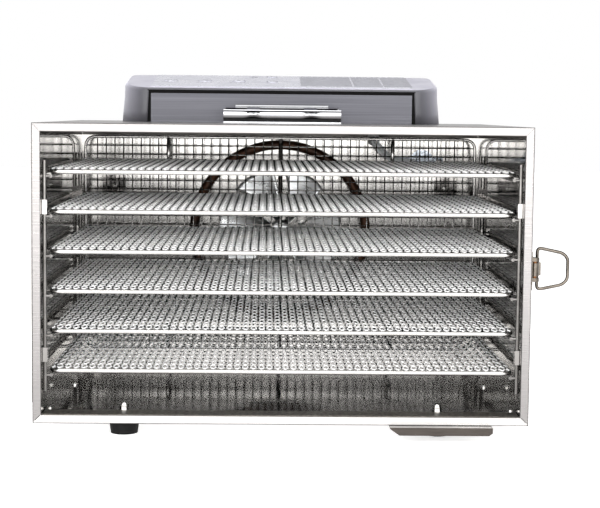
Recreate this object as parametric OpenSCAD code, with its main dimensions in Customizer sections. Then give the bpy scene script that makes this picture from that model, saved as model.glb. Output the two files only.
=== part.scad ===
// Six-tray food dehydrator: double-walled steel cabinet, pull-out wire trays, rear fan and
// ring heater, and a sloping control box on top. X is to the right, Y to the rear, Z up.
// The origin is on the surface that the feet stand on, under the middle of the whole
// model's box, latch loop included.

/* [Cabinet] */
// Width across the outer side panels
cab_w = 415; // [400:1:500]
// Height of the cabinet without its feet
cab_h = 250; // [245:1:320]
// Depth from the front flange to the rear cover
cab_d = 345; // [340:1:420]
// Width of the folded front flange, which is the gap between outer and inner walls
flange_w = 7; // [6:0.5:12]
// Thickness of the outer sheet
skin_t = 1; // [0.8:0.1:1.2]
// Thickness of the chamber lining
liner_t = 0.8; // [0.6:0.1:1.2]
// Distance from the front flange to the chamber's back wall
chamber_d = 305; // [300:1:320]
// Height of the rubber feet
foot_h = 14; // [10:0.5:24]
// Distance of the front feet from the front, and of the rear feet from the rear
foot_inset = 34; // [34:1:60]
// Distance of a foot's centre from the middle of the cabinet
foot_x = 134; // [100:1:150]

/* [Trays and racks] */
// Number of trays
trays = 6; // [6]
// Width of a tray over its frame wire
tray_w = 390; // [360:1:392]
// Length of a tray over its frame wire
tray_l = 268; // [230:1:270]
// Diameter of the tray frame wire
tray_wire = 4; // [3:0.1:4.5]
// Radius of a tray's corners, at the middle of the wire
tray_r = 9; // [6:0.5:20]
// Thickness of the mesh sheet
mesh_t = 0.8; // [0.6:0.1:1.5]
// Distance from the chamber's ceiling to the top tray
top_gap = 33.2; // [26:0.1:45]
// Distance from the chamber's floor to the bottom tray
bottom_gap = 36.3; // [30:0.1:50]
// Diameter of the rack's upright wires
post_d = 3.6; // [3:0.1:4.5]
// Diameter of the rack's rails
rail_d = 3; // [2.5:0.1:4]

/* [Fan and heater] */
// Distance from the chamber's ceiling to the fan's axis
fan_drop = 102; // [100:1:140]
// Outer diameter of the fan
fan_d = 126; // [100:1:150]
// Middle diameter of the ring heater
ring_d = 173; // [165:1:182]
// Diameter of the heater's tube
ring_tube = 9.5; // [6:0.5:10]
// Width of the wire guard in front of the fan
guard_w = 392; // [300:1:394]
// Diameter of the motor's shaft
shaft_d = 5; // [4:0.1:8]
// Diameter of the motor
motor_d = 62; // [50:1:70]

/* [Control box] */
// Width of the box's front face
box_front_w = 263; // [258:1:300]
// Width of the box at its rear
box_rear_w = 310; // [304:1:370]
// Distance from the cabinet's front to the box's front face
box_start = 232; // [225:1:240]
// Height of the front face
box_front_h = 33; // [33:0.5:45]
// Height of the box at its rear
box_rear_h = 47.5; // [46:0.5:60]
// Wall of the box
box_wall = 2.5; // [2:0.1:3]
// Diameter of the round keys
key_d = 13.5; // [10:0.5:16]
// Press travel of a key
key_travel = 0.5; // [0.3:0.1:0.6]

/* [Handle] */
// Length of the handle
handle_w = 108; // [96:1:140]
// Distance from the cabinet's front to the handle's hinge
handle_start = 162; // [100:1:165]
// Diameter of the handle's hinge pin
handle_pin_d = 4; // [3:0.1:5]

/* [Latch] */
// Height of the latch above the base panel
latch_h = 130.5; // [100:0.5:140]
// Distance of the latch's hinge from the front
latch_start = 18; // [18:1:40]
// Wire diameter of the latch's loop
loop_wire = 2.8; // [2:0.1:3]
// Reach of the loop out of its hinge
loop_reach = 26; // [20:0.5:40]

/* [Hidden] */
TRAY_FRAMES = [for (n = [1:6]) str("tray_frame_", n)];
TRAY_MESHES = [for (n = [1:6]) str("tray_mesh_", n)];
$fn = 48;

// Places that follow from the sizes above
ledge_reach = 10;                                // door ledge in front of the cabinet
head_h = 2.2;                                    // rear cover's screw heads
front = (ledge_reach - head_h - cab_d) / 2;
rear = front + cab_d;
half_w = cab_w / 2;
in_half = half_w - flange_w;
base_z = foot_h;
top_z = foot_h + cab_h;
floor_z = base_z + flange_w;
ceil_z = top_z - flange_w;
back_y = front + chamber_d;
pitch = (ceil_z - floor_z - top_gap - bottom_gap) / (trays - 1);
fan_z = ceil_z - fan_drop;

// Clearances
mitre_gap = 0.3;      // slit between two mitred flanges at the top corners
corner_gap = 0.8;     // slit at the bottom corners
rest_gap = 0.3;       // tray wire above its rail
run_gap = 0.05;       // radial clearance of a pin that turns
key_gap = 0.4;        // radial clearance round a key

// Trays and racks
tray_front = 6;                                  // front wire's outer edge behind the front
post_x = in_half - 0.8 - post_d / 2;
rail_x = tray_w / 2 - rail_d / 2 - 0.8;
post_spots = [8, 262];                           // uprights' distances from the front
rail_over = 1;                                   // rails' ends past the uprights
post_low = 19;                                   // uprights' ends above the chamber floor
post_top = 24;                                   // and below its ceiling
clip_spots = [0.16, 0.80];                       // clips' heights, as shares of an upright
clip_h = 12;
clip_w = 9;
rail_drop = tray_wire / 2 + rest_gap + rail_d / 2;
weld_flat = 0.3;                                 // ground off the frame wire under the mesh

// Fan, heater and guard, as distances from the front
guard_y = front + 281;
ring_y = front + 294;
fan_y = front + 290;
fan_len = 12;
hub_d = 22;
blades = 7;
motor_gap = 4;
motor_len = 26;
motor_y = back_y + liner_t + motor_gap;
guard_top = 7;
guard_low = 14.5;
guard_wire = 3;
guard_r = 8;
leg_x = 112;                                     // guard legs from the middle
leg_inset = 24;                                  // and from the guard's top and bottom
guard_clip = [23, 20, 1.2];                      // plates on the back wall beside the fan
guard_clip_at = [168, 44];                       // and their places from its axis

// Control box
box_front = front + box_start;
box_rear = rear - 2;
box_slope = atan((box_rear_h - box_front_h) / (box_rear - box_front));
box_taper = 30;
lip = 2;                                         // shell's edge round the front opening
gasket_t = 1.5;
fascia_t = 1.4;
fascia_margin = 3.4;                             // black gasket showing round the fascia
overlay_t = 0.4;
board_z = -10.4;                                 // board's top below the sloping face
board_t = 1.6;
keys_y = 58.5;                                   // round keys' distance up the slope
key_spots = [for (d = [21.5, 55.5, 89]) d - box_front_w / 2];  // from the box's left edge
step_x = 122.2 - box_front_w / 2;
step_spots = [54, 98];                           // minus and plus keys up the slope
step_d = 11;

// Handle
hinge_h = 8;                                     // handle pin above the top panel
handle_y = front + handle_start;
arm_in = 20.5;
arm_out = 33;
bail_len = 47;
bail_tilt = 8;

// Latch
latch_z = base_z + latch_h;
latch_y = front + latch_start;
latch_x = half_w + 5.2;                          // hinge pin's axis
latch_pin_d = 2.5;
sleeve_d = 4.4;
sleeve_h = 14;
ear_t = 3;
ear_z = sleeve_h / 2;
lever_h = 11;
lever_len = 44;
loop_off = 8;                                    // loop's hinge behind the lever's hinge
loop_root = 18;                                  // loop's half height at its hinge
loop_tip = 13.5;                                 // and at its far end
lever_out = 6.2;                                 // lever's outer face from its hinge
loop_seat = 2.6;                                 // loop's hinge inside that face
bend_ball = 1.12;                                // ball at a bend, over the wire's diameter
strip_t = 0.7;                                   // hinge strip on the left wall
right_end = latch_x + lever_out - loop_seat + loop_reach + bend_ball * loop_wire / 2;
mid_x = (right_end - half_w - strip_t) / 2;

// Power inlet and door ledge
inlet_x = 140;
inlet_z = base_z + 40;
ledge_x = [90.5, 176.5];
ledge_back = 20;

// Cable from the grommet to the cut-out: X, distance behind the front, height over the fan
CABLE = [[94, 303, 93], [94, 299, 93], [95, 296, 91], [98, 294, 86], [103, 293, 80],
    [110, 293, 75], [118, 294, 72], [126, 295, 71], [134, 296, 71]];
cutout_x = 143;
cutout_rise = 71;
cutout_d = 24;
cable_d = 3.6;
CABLE_SIDES = 8;

function unit(v) = v / norm(v);

// Moves a piece drawn about the cabinet's middle to the middle of the whole model's width
module centred() {
    translate([-mid_x, 0, 0]) children();
}

// Extrudes an outline drawn in X and Z along Y, from y0 to the rear
module across(y0, len) {
    translate([0, y0 + len, 0]) rotate([90, 0, 0]) linear_extrude(len) children();
}

// Extrudes an outline drawn in Y and Z along X, from x0 to the right
module along_x(x0, len) {
    translate([x0, 0, 0]) rotate([90, 0, 90]) linear_extrude(len) children();
}

// Straight round rod from point a to point b
module rod(a, b, d) {
    v = b - a;
    l = norm(v);
    translate(a) rotate([0, acos(v.z / l), atan2(v.y, v.x)]) cylinder(h = l, d = d);
}

// Quarter bend of a round wire in the XY plane, centred on the bend's centre
module elbow(r, d, angle = 90) {
    rotate_extrude(angle = angle) translate([r, 0]) circle(d = d);
}

// Open round wire in the XZ plane through the points p, with a ball at each bend
module bent_wire(p, d) {
    n = len(p);
    for (k = [0:n - 2]) rod([p[k].x, 0, p[k].y], [p[k + 1].x, 0, p[k + 1].y], d);
    for (k = [1:n - 2]) translate([p[k].x, 0, p[k].y]) sphere(d = bend_ball * d);
}

// Closed loop of round wire in the XY plane, w by l over the wire's middle
module wire_loop(w, l, r, d) {
    for (s = [-1, 1]) {
        rod([r - w / 2, s * l / 2, 0], [w / 2 - r, s * l / 2, 0], d);
        rod([s * w / 2, r - l / 2, 0], [s * w / 2, l / 2 - r, 0], d);
    }
    for (k = [0:3]) {
        c = [(k == 0 || k == 3) ? 1 : -1, k < 2 ? 1 : -1];
        translate([c.x * (w / 2 - r), c.y * (l / 2 - r), 0]) rotate(90 * k) elbow(r, d);
    }
}

// Rectangle with round corners, centred
module round_rect(w, h, r) {
    square([w - 2 * r, h], center = true);
    square([w, h - 2 * r], center = true);
    for (x = [-1, 1], y = [-1, 1]) {
        translate([x * (w / 2 - r), y * (h / 2 - r)]) circle(r);
    }
}

// Repeats its children at the four feet
module at_feet() {
    for (x = [-foot_x, foot_x], y = [front + foot_inset, rear - foot_inset]) {
        translate([x, y, 0]) children();
    }
}

// Pan-head screw with its seat at the origin, head towards +Z
module screw(head_d, head_h, shank_d, len) {
    translate([0, 0, -len]) cylinder(h = len, d = shank_d);
    intersection() {
        cylinder(h = head_h, d = head_d);
        translate([0, 0, head_h - head_d]) sphere(d = 2 * head_d);
    }
}

// ---- Cabinet ----

module top_panel() {
    edge = 0.7;
    color("whitesmoke") centred() difference() {
        union() {
            across(front, cab_d) polygon([
                [-half_w, top_z - skin_t], [half_w, top_z - skin_t], [half_w, top_z - edge],
                [half_w - edge, top_z], [edge - half_w, top_z], [-half_w, top_z - edge]]);
            across(front, skin_t) polygon([
                [-in_half, ceil_z], [in_half, ceil_z],
                [half_w - skin_t, top_z - skin_t], [skin_t - half_w, top_z - skin_t]]);
        }
        // hole for the wiring into the control box
        translate([0, rear - 20, top_z - 2]) cylinder(h = 4, d = 16);
        box_screw_spots() translate([0, 0, -3]) cylinder(h = 4, d = 3);
    }
}

// Right side panel with its front flange; its children are cut away
module side_panel() {
    difference() {
        union() {
            translate([half_w - skin_t, front, base_z]) cube([skin_t, cab_d, cab_h - skin_t]);
            across(front, skin_t) polygon([
                [in_half, floor_z + corner_gap], [in_half, ceil_z - mitre_gap],
                [half_w - skin_t - mitre_gap, top_z - skin_t - 2 * mitre_gap],
                [half_w - skin_t, top_z - skin_t - 2 * mitre_gap],
                [half_w - skin_t, base_z + skin_t + corner_gap]]);
        }
        children();
    }
}

module side_panel_right() {
    color("whitesmoke") centred() side_panel() latch_rivets(half_w - skin_t - 1);
}

module side_panel_left() {
    color("whitesmoke") centred() mirror([1, 0, 0]) side_panel();
}

module base_panel() {
    in_w = half_w - skin_t;
    color("gainsboro") centred() difference() {
        union() {
            translate([-in_w, front, base_z]) cube([2 * in_w, cab_d - skin_t, skin_t]);
            across(front, skin_t) polygon([
                [-in_half, floor_z], [in_half, floor_z],
                [in_w, base_z + skin_t], [-in_w, base_z + skin_t]]);
            for (s = [0, 1]) mirror([s, 0, 0]) {
                translate([in_w - skin_t, front + skin_t, base_z + skin_t]) {
                    cube([skin_t, cab_d - 2 * skin_t, flange_w - skin_t - liner_t - 0.4]);
                }
            }
        }
        at_feet() translate([0, 0, base_z - 1]) cylinder(h = 4, d = 4);
        ledge_rivets();
    }
}

// Rear cover with return edges, vent slots and the inlet's opening
module rear_cover() {
    w = 2 * (half_w - skin_t);
    h = cab_h - skin_t;
    color("gainsboro") centred() difference() {
        translate([-w / 2, rear - skin_t, base_z]) cube([w, skin_t, h]);
        for (x = [-4:4], z = [-1:1]) {
            translate([x * 13 - 2, rear - skin_t - 1, fan_z + z * 34 - 13]) cube([4, 3, 26]);
        }
        translate([inlet_x, rear - 2, inlet_z]) {
            translate([-24, 0, -12]) cube([48, 3, 24]);
        }
        rear_spots() cylinder(h = 6, d = 3, center = true);
    }
}

module rear_spots() {
    for (x = [-1, 1], z = [base_z + 16, top_z - 16]) {
        translate([x * (half_w - 12), rear, z]) rotate([-90, 0, 0]) children();
    }
}

// Spots of the screws that hold the control box, on the top panel's underside
module box_screw_spots() {
    for (x = [-1, 1], y = [box_front + 20, box_rear - 16]) {
        translate([x * (box_front_w / 2 - 8), y, top_z - skin_t]) children();
    }
}

// Spots of the chamber floor's edge screws: distance from the wall and from the front
module floor_spots() {
    for (s = [-1, 1], p = [[3.2, 32], [10.5, 148], [10.5, 258]]) {
        translate([s * (in_half - p.x), front + p.y, floor_z]) children();
    }
}

// Screws of the rear cover, the chamber floor's edges and the control box
module case_screws() {
    color("silver") centred() {
        rear_spots() screw(7, head_h, 3, 7);
        floor_spots() screw(5.5, 2, 2.5, liner_t + 2);
        box_screw_spots() mirror([0, 0, 1]) screw(6.5, 2, 3, skin_t + 7);
    }
}

// ---- Chamber lining ----

module liner_side() {
    translate([in_half, front + skin_t, floor_z - liner_t]) {
        cube([liner_t, chamber_d + liner_t - skin_t, ceil_z - floor_z + liner_t]);
    }
}

module liner_right() {
    color("silver") centred() difference() {
        liner_side();
        rack_screw_spots() cylinder(h = 8, d = 2.5, center = true);
    }
}

module liner_left() {
    color("silver") centred() difference() {
        mirror([1, 0, 0]) liner_side();
        rack_screw_spots() cylinder(h = 8, d = 2.5, center = true);
    }
}

module liner_top() {
    color("silver") centred() translate([-in_half - liner_t, front + skin_t, ceil_z]) {
        cube([2 * (in_half + liner_t), chamber_d + liner_t - skin_t, liner_t]);
    }
}

module liner_floor() {
    color("darkgray") centred() difference() {
        translate([-in_half, front + skin_t, floor_z - liner_t]) {
            cube([2 * in_half, chamber_d + liner_t - skin_t, liner_t]);
        }
        at_feet() translate([0, 0, floor_z - 2]) cylinder(h = 4, d = 4);
        floor_spots() cylinder(h = 4, d = 2.5, center = true);
    }
}

// Chamber's back wall with the shaft hole, air holes and a row of five vents
module liner_back() {
    color("silver") centred() difference() {
        translate([-in_half, back_y, floor_z]) {
            cube([2 * in_half, liner_t, ceil_z - floor_z]);
        }
        translate([0, back_y - 1, fan_z]) rotate([-90, 0, 0]) {
            cylinder(h = 4, d = shaft_d + 8);
            for (k = [0:11]) rotate(30 * k + 15) translate([24, 0, 0]) cylinder(h = 4, d = 8);
            for (k = [-2:2]) translate([15.3 * k, 77, 0]) cylinder(h = 4, d = 5);
            for (x = [-1, 1]) translate([12 * x, -ring_d / 2, 0]) cylinder(h = 4, d = 6);
            for (k = [0:3]) rotate(90 * k + 45) translate([motor_d / 2 + 5, 0, 0]) {
                cylinder(h = 4, d = 3);
            }
        }
        translate([CABLE[0].x, back_y - 1, fan_z + CABLE[0].z]) rotate([-90, 0, 0]) {
            cylinder(h = 4, d = 9);
        }
        cutout_spots() cylinder(h = 8, d = 2.5, center = true);
        guard_clip_spots() cylinder(h = 8, d = 2.5, center = true);
    }
}

// ---- Feet ----

module rubber_feet() {
    color("black") centred() at_feet() difference() {
        cylinder(h = foot_h, d1 = 23, d2 = 27);
        translate([0, 0, -1]) cylinder(h = 4, d = 10);
        cylinder(h = foot_h + 1, d = 4);
    }
}

module foot_screws() {
    color("silver") centred() at_feet() {
        translate([0, 0, 3 - 2.2]) cylinder(h = 2.2, d = 8);
        translate([0, 0, 3]) cylinder(h = floor_z + 4 - 3, d = 4);
    }
}

// Domed nuts on the chamber floor
module foot_nuts() {
    color("silver") centred() at_feet() translate([0, 0, floor_z]) difference() {
        union() {
            cylinder(h = 3, d = 8, $fn = 6);
            translate([0, 0, 3]) intersection() {
                sphere(d = 6.8);
                translate([-5, -5, 0]) cube([10, 10, 5]);
            }
        }
        translate([0, 0, -1]) cylinder(h = 5, d = 4);
    }
}

// ---- Racks ----

function tray_z(n) = ceil_z - top_gap - (n - 1) * pitch;

module rack() {
    z0 = floor_z + post_low;
    z1 = ceil_z - post_top;
    for (y = post_spots) {
        translate([post_x, front + y, z0]) cylinder(h = z1 - z0, d = post_d);
    }
    for (n = [1:trays]) {
        z = tray_z(n) - rail_drop;
        rod([rail_x, front + post_spots[0] - rail_over, z],
            [rail_x, front + post_spots[1] + rail_over, z], rail_d);
        for (y = post_spots) rod([rail_x, front + y, z], [post_x, front + y, z], rail_d - 0.4);
    }
}

// Two welded wire racks, one on each side wall
module tray_racks() {
    color("silver") centred() for (s = [0, 1]) mirror([s, 0, 0]) rack();
}

module clip_spots_at() {
    z0 = floor_z + post_low;
    span = ceil_z - post_top - z0;
    for (y = post_spots, k = clip_spots) translate([0, front + y, z0 + k * span]) children();
}

module rack_screw_spots() {
    for (s = [0, 1]) mirror([s, 0, 0]) clip_spots_at() {
        translate([in_half, clip_w, 0]) rotate([0, -90, 0]) children();
    }
}

module guard_clip_spots() {
    for (x = [-1, 1]) {
        translate([x * guard_clip_at.x, back_y, fan_z + guard_clip_at.y]) {
            rotate([90, 0, 0]) children();
        }
    }
}

// Clips that hold the uprights to the side walls, and two plates on the back wall
module wall_clips() {
    color("silver") centred() guard_clip_spots() difference() {
        translate([0, 0, guard_clip.z / 2]) cube(guard_clip, center = true);
        cylinder(h = 5, d = 2.5, center = true);
    }
    clip_t = in_half - post_x + post_d / 2 + 0.5;
    color("silver") centred() for (s = [0, 1]) mirror([s, 0, 0]) clip_spots_at() difference() {
        union() {
            translate([in_half - clip_t, -clip_w / 3, -clip_h / 2]) {
                cube([clip_t, clip_w / 1.5, clip_h]);
            }
            translate([in_half - 1, -clip_w / 3, -clip_h / 2]) {
                cube([1, clip_w * 1.8, clip_h]);
            }
        }
        translate([post_x, 0, -clip_h]) cylinder(h = 2 * clip_h, d = post_d);
        translate([in_half, clip_w, 0]) rotate([0, -90, 0]) {
            cylinder(h = 8, d = 2.5, center = true);
        }
    }
}

module cutout_spots() {
    for (x = [-1, 1]) {
        translate([cutout_x + 17 * x, back_y - 1, fan_z + cutout_rise]) {
            rotate([90, 0, 0]) children();
        }
    }
}

// Small screws of the rack clips and the cut-out
module chamber_screws() {
    color("silver") centred() {
        rack_screw_spots() translate([0, 0, 1]) screw(5, 1.6, 2.5, 1 + liner_t);
        cutout_spots() screw(5, 1.6, 2.5, 1 + liner_t);
        guard_clip_spots() translate([0, 0, guard_clip.z]) {
            screw(5, 1.6, 2.5, guard_clip.z + liner_t);
        }
    }
}

// ---- Trays ----

module tray_place(n) {
    translate([0, front + tray_front + tray_l / 2, tray_z(n)]) children();
}

module tray_frame(n) {
    color("gainsboro") centred() tray_place(n) difference() {
        wire_loop(tray_w - tray_wire, tray_l - tray_wire, tray_r, tray_wire);
        translate([-tray_w, -tray_l, tray_wire / 2 - weld_flat]) cube([2 * tray_w, 2 * tray_l, 4]);
    }
}

// Mesh sheet, shown as a coarse lattice of diamond holes
module tray_mesh(n) {
    cell = [46, 36];
    web = 3;
    w = tray_w - tray_wire;
    l = tray_l - tray_wire;
    nx = floor((w / 2 - 12) / cell.x);
    ny = floor((l / 2 - 10) / cell.y);
    color("silver") centred() tray_place(n) translate([0, 0, tray_wire / 2 - weld_flat]) {
        linear_extrude(mesh_t) difference() {
            round_rect(w, l, tray_r);
            for (i = [-nx:nx], j = [-ny:ny]) translate([i * cell.x, j * cell.y]) {
                polygon([[web - cell.x / 2, 0], [0, web - cell.y / 2],
                    [cell.x / 2 - web, 0], [0, cell.y / 2 - web]]);
            }
        }
    }
}

// ---- Fan, heater and guard ----

// Wire guard, shown as a coarse lattice in its frame, with four legs to the back wall
module fan_guard() {
    z0 = floor_z + guard_low;
    z1 = ceil_z - guard_top;
    w = guard_w - guard_wire;
    h = z1 - z0 - guard_wire;
    nx = 11;
    nz = 6;
    bar = 1.2;
    color("silver") centred() translate([0, guard_y, (z0 + z1) / 2]) {
        rotate([90, 0, 0]) wire_loop(w, h, guard_r, guard_wire);
        for (k = [1:nx - 1]) if (k * 2 != nx) {
            translate([k * w / nx - w / 2 - bar / 2, -0.5, -h / 2]) cube([bar, 1, h]);
        }
        for (k = [1:nz - 1]) {
            translate([-w / 2, -0.5, k * h / nz - h / 2 - bar / 2]) cube([w, 1, bar]);
        }
        rod([0, 0, -h / 2], [0, 0, h / 2], guard_wire);
        for (x = [-1, 1], z = [-1, 1]) {
            translate([x * leg_x, 0, z * (h / 2 - leg_inset)]) rotate([-90, 0, 0]) {
                cylinder(h = back_y - guard_y, d = 5);
            }
            translate([x * leg_x - 3, -0.5, z * (h / 2 - leg_inset / 2) - leg_inset / 2]) {
                cube([6, 1, leg_inset]);
            }
        }
    }
}

module ring_torus() {
    translate([0, ring_y, fan_z]) rotate([90, 0, 0]) elbow(ring_d / 2, ring_tube, 360);
}

// Tubular ring heater, with two terminals through the back wall
module heater_ring() {
    color("dimgray") centred() {
        ring_torus();
        for (x = [-12, 12]) {
            translate([x, ring_y, fan_z + ring_d / 2 - 0.8]) rotate([-90, 0, 0]) {
                cylinder(h = back_y - ring_y + 8, d = 6);
            }
        }
    }
}

// Blocks that hold the ring off the back wall
module heater_brackets() {
    color("silver") centred() difference() {
        for (a = [30, 150, 270]) translate([0, 0, fan_z]) rotate([0, a, 0]) {
            translate([ring_d / 2 - 3, ring_y, -4]) cube([6, back_y - ring_y, 8]);
        }
        ring_torus();
    }
}

// Pressed fan wheel: a hub cup and seven pitched blades
module fan_impeller() {
    color("lightgray") centred() translate([0, fan_y, fan_z]) rotate([-90, 0, 0]) difference() {
        union() {
            cylinder(h = fan_len, d = hub_d);
            for (k = [0:blades - 1]) rotate(360 / blades * k) intersection() {
                translate([hub_d / 2 - 2, 0, fan_len / 2]) rotate([28, 0, 0]) {
                    translate([0, -19, -0.6]) cube([fan_d / 2, 38, 1.2]);
                }
                cylinder(h = fan_len, d = fan_d);
            }
        }
        translate([0, 0, -1]) cylinder(h = fan_len + 2, d = shaft_d);
    }
}

module motor_shaft() {
    color("silver") centred() translate([0, fan_y - 3, fan_z]) rotate([-90, 0, 0]) {
        cylinder(h = motor_y + 14 - fan_y + 3, d = shaft_d);
    }
}

module motor_body() {
    color("slategray") centred() translate([0, motor_y, fan_z]) rotate([-90, 0, 0]) difference() {
        union() {
            cylinder(h = motor_len - 4, d = motor_d);
            cylinder(h = motor_len, d = motor_d / 2);
        }
        translate([0, 0, -1]) cylinder(h = 17, d = shaft_d + 2 * run_gap);
    }
}

// Cross-shaped plate with four legs between the motor and the back wall
module motor_bracket() {
    color("silver") centred() translate([0, back_y + liner_t, fan_z]) rotate([-90, 0, 0]) difference() {
        union() {
            for (k = [0:3]) rotate(90 * k + 45) {
                translate([motor_d / 2 + 1, -4, 0]) cube([8, 8, motor_gap]);
                translate([motor_d / 2 - 6, -4, motor_gap - 1.5]) cube([8, 8, 1.5]);
            }
            translate([0, 0, motor_gap - 1.5]) cylinder(h = 1.5, d = motor_d - 6);
        }
        translate([0, 0, -1]) cylinder(h = motor_gap + 2, d = shaft_d + 4);
        for (k = [0:3]) rotate(90 * k + 45) translate([motor_d / 2 + 5, 0, -1]) {
            cylinder(h = motor_gap + 2, d = 3);
        }
    }
}

// Over-temperature cut-out: a disc on a two-eared plate
module thermal_cutout() {
    color("lightgray") centred() translate([cutout_x, back_y, fan_z + cutout_rise]) {
        rotate([90, 0, 0]) difference() {
            union() {
                translate([0, 0, 0.5]) cube([44, 9, 1], center = true);
                cylinder(h = 6, d = cutout_d);
                cylinder(h = 7.5, d = cutout_d * 0.6);
            }
            for (x = [-17, 17]) translate([x, 0, 0]) cylinder(h = 5, d = 2.5, center = true);
        }
    }
}

module cable_grommet() {
    color("black") centred() translate([CABLE[0].x, back_y, fan_z + CABLE[0].z]) rotate([90, 0, 0]) {
        translate([0, 0, -liner_t - 1.5]) cylinder(h = liner_t + 1.5, d = 9);
        cylinder(h = 2, d = 13);
    }
}

// Direction of the route at its k-th point
function heading(p, k) = unit(p[min(k + 1, len(p) - 1)] - p[max(k - 1, 0)]);

// Tube swept along the points of a route
module tube(p, d, sides) {
    n = len(p);
    ring = [for (k = [0:n - 1]) let (t = heading(p, k), u = unit(cross(t, [0.2, 0.1, 1])),
        v = cross(t, u)) [for (s = [0:sides - 1]) let (a = 360 * s / sides)
            p[k] + d / 2 * (cos(a) * u + sin(a) * v)]];
    pts = [for (r = ring) each r];
    sides_of = [for (k = [0:n - 2], s = [0:sides - 1]) let (q = (s + 1) % sides)
        [k * sides + s, k * sides + q, (k + 1) * sides + q, (k + 1) * sides + s]];
    polyhedron(pts, concat([[for (s = [sides - 1:-1:0]) s]], sides_of,
        [[for (s = [0:sides - 1]) (n - 1) * sides + s]]));
}

module cutout_cable() {
    color("gray") centred() tube([for (q = CABLE) [q.x, front + q.y, fan_z + q.z]], cable_d, CABLE_SIDES);
}

module power_inlet() {
    color("black") centred() translate([inlet_x, 0, inlet_z]) difference() {
        union() {
            translate([-24, rear - 22, -12]) cube([48, 22, 24]);
            translate([-26, rear, -14]) cube([52, 2, 28]);
        }
        translate([-12.5, rear - 16, -8.5]) cube([25, 20, 17]);
    }
}

// ---- Control box ----

// The box's outer form, drawn in by an inset on every face but the bottom
module box_form(inset) {
    yf = box_front + inset;
    yr = box_rear - inset;
    wf = box_front_w / 2 - inset;
    wr = box_rear_w / 2 - inset;
    drop = inset / cos(box_slope);
    rise = tan(box_slope);
    intersection() {
        translate([0, 0, top_z]) linear_extrude(box_rear_h + 1) polygon([
            [-wf, yf], [wf, yf], [wr, yf + box_taper], [wr, yr], [-wr, yr],
            [-wr, yf + box_taper]]);
        along_x(-wr, 2 * wr) polygon([
            [yf, top_z], [yr, top_z], [yr, top_z + box_front_h - drop + rise * (yr - box_front)],
            [yf, top_z + box_front_h - drop + rise * (yf - box_front)]]);
    }
}

// Frame with Y up the slope and Z out of it, from the middle of the front top edge
module on_slope() {
    translate([0, box_front, top_z + box_front_h]) rotate([box_slope, 0, 0]) children();
}

module control_box() {
    open_w = box_front_w - 2 * lip;
    color("lightgray") centred() difference() {
        box_form(0);
        difference() {
            box_form(box_wall);
            box_screw_spots() cylinder(h = box_rear_h + 5, d = 8);
        }
        translate([-open_w / 2, box_front - 1, top_z - 1]) {
            cube([open_w, box_wall + 2, box_front_h - lip + 1]);
        }
        box_screw_spots() cylinder(h = skin_t + 7, d = 3);
        on_slope() {
            for (x = key_spots) key_hole(x, keys_y, key_d);
            for (y = step_spots) key_hole(step_x, y, step_d);
        }
    }
}

module key_hole(x, y, d) {
    translate([x, y, -box_wall - 3]) cylinder(h = box_wall + 8, d = d + 2 * key_gap);
}

// Black frame behind the fascia
module box_gasket() {
    w = box_front_w - 2 * lip;
    color("black") centred() translate([-w / 2, box_front + box_wall - gasket_t, top_z]) {
        cube([w, gasket_t, box_front_h - lip]);
    }
}

module box_fascia() {
    w = box_front_w - 2 * lip - 2 * fascia_margin;
    h = box_front_h - lip - fascia_margin;
    color("darkgray") centred() {
        translate([-w / 2, box_front + box_wall - gasket_t - fascia_t, top_z]) {
            cube([w, fascia_t, h]);
        }
    }
}

module keypad_overlay() {
    color("silver") centred() on_slope() difference() {
        translate([-box_front_w / 2 + 5, 8, 0]) cube([box_front_w - 10, 100, overlay_t]);
        for (x = key_spots) key_hole(x, keys_y, key_d);
        for (y = step_spots) key_hole(step_x, y, step_d);
    }
}

// Key cap with a flange under the shell, d across
module key(x, y, d) {
    top = overlay_t + 0.4;
    seat = -box_wall - 0.3;
    color("gainsboro") centred() on_slope() translate([x, y, 0]) {
        translate([0, 0, seat - 1]) cylinder(h = top - seat + 1, d = d);
        translate([0, 0, seat - 1]) cylinder(h = 1, d = d + 3);
    }
}

module key_power() { key(key_spots[0], keys_y, key_d); }
module key_timer() { key(key_spots[1], keys_y, key_d); }
module key_temperature() { key(key_spots[2], keys_y, key_d); }
module key_minus() { key(step_x, step_spots[0], step_d); }
module key_plus() { key(step_x, step_spots[1], step_d); }

// Board hung from the shell on four posts, with a switch under each key
module circuit_board() {
    stem = -box_wall - 0.3 - 1 - key_travel - 0.3;
    x0 = key_spots[0] - 9;
    x1 = step_x + 14;
    y0 = step_spots[0] - 12;
    y1 = step_spots[1] + 6;
    color("darkgreen") centred() on_slope() {
        translate([x0, y0, board_z - board_t]) cube([x1 - x0, y1 - y0, board_t]);
        for (x = [x0 + 3, x1 - 3], y = [y0 + 3, y1 - 3]) {
            translate([x, y, board_z]) cylinder(h = -box_wall - board_z, d = 5);
        }
        for (p = concat([for (x = key_spots) [x, keys_y]], [for (y = step_spots) [step_x, y]])) {
            translate([p.x - 3, p.y - 3, board_z]) cube([6, 6, 3.2]);
            translate([p.x, p.y, board_z + 3.2]) cylinder(h = stem - board_z - 3.2, d = 3);
        }
    }
}

// ---- Handle ----

module at_handle() { translate([0, handle_y, top_z]) children(); }

// Plate with three hinge lugs
module handle_base() {
    lug_y = 4.4;
    color("white") centred() at_handle() difference() {
        union() {
            translate([-handle_w / 2, -10, 0]) cube([handle_w, 20, 2]);
            for (x = [[-handle_w / 2, -arm_out - 0.5], [0.5 - arm_in, arm_in - 0.5],
                [arm_out + 0.5, handle_w / 2]]) {
                translate([x[0], -lug_y, 2]) cube([x[1] - x[0], 2 * lug_y, hinge_h - 2]);
                rod([x[0], 0, hinge_h], [x[1], 0, hinge_h], 2 * lug_y);
            }
        }
        rod([-handle_w, 0, hinge_h], [handle_w, 0, hinge_h], handle_pin_d);
    }
}

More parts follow.
